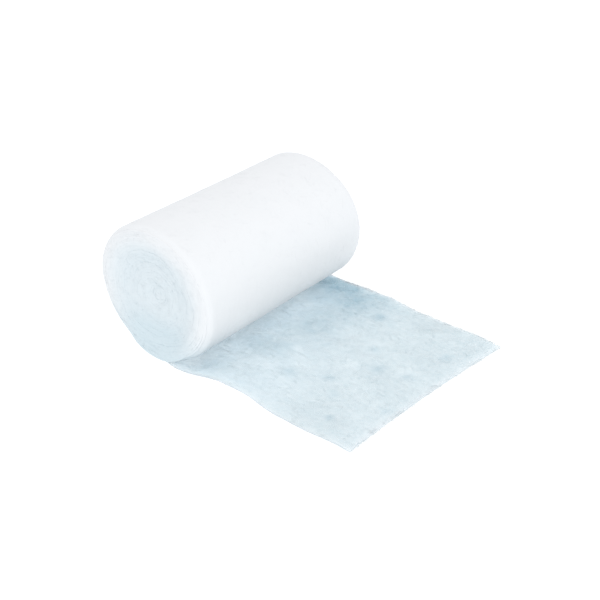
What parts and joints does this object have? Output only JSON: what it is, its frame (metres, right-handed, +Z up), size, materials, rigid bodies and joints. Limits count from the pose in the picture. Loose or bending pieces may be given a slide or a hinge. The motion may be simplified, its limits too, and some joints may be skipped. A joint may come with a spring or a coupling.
{
  "type": "cast padding roll",
  "caption": "Roll of soft white non-woven cast padding, wound without a core, with its loose end unrolled flat from under it.",
  "frame": {"origin": "on the surface that the roll rests on, under the middle of the whole outline, loose end included", "axes": "+X along the loose end, away from the roll; +Y along the roll's axis, away from its near end; +Z up"},
  "size_m": [0.1362, 0.1006, 0.0602],
  "materials": {
    "padding": "matt, soft and fibrous"
  },
  "bodies": {
    "root": {"padding_roll": "padding"}
  },
  "joints": []
}
